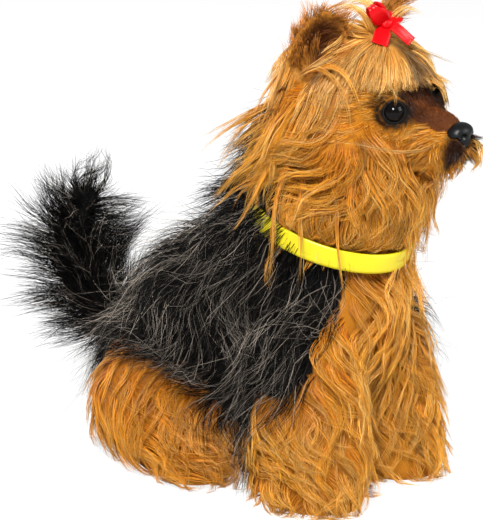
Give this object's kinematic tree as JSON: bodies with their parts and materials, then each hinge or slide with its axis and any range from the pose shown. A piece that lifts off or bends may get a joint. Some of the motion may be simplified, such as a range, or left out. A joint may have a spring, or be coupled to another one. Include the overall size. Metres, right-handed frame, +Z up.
{
  "type": "toy yorkshire terrier",
  "caption": "Sitting long-coated terrier toy with an upright plume tail, pricked ears, moulded nose, bead eyes, a neck strap and a ribbon bow.",
  "frame": {"origin": "on the floor under the middle of the seat, centred side to side", "axes": "+Z up, the toy faces -Y, +X is the toy's own left side"},
  "size_m": [0.1717, 0.3464, 0.2997],
  "materials": {
    "tan_coat": "long golden tan pile with darker roots, lying in loose waves",
    "dark_coat": "shaggy black pile grizzled with silver and brown-grey hairs",
    "eye_bead": "glossy black bead",
    "nose_moulding": "moulded black nose with a satin, finely pebbled surface",
    "strap": "smooth yellow soft vinyl",
    "ribbon": "red satin ribbon"
  },
  "bodies": {
    "root": {"torso": "dark_coat", "tail": "dark_coat", "neck": "tan_coat", "head": "tan_coat", "topknot": "tan_coat", "ear_left": "tan_coat", "ear_right": "tan_coat", "foreleg_left": "tan_coat", "foreleg_right": "tan_coat", "hindleg_left": "tan_coat", "hindleg_right": "tan_coat", "eye_left": "eye_bead", "eye_right": "eye_bead", "nose": "nose_moulding", "collar": "strap", "bow_knot": "ribbon", "bow_loop_left": "ribbon", "bow_loop_right": "ribbon", "bow_end_left": "ribbon", "bow_end_right": "ribbon"}
  },
  "joints": []
}
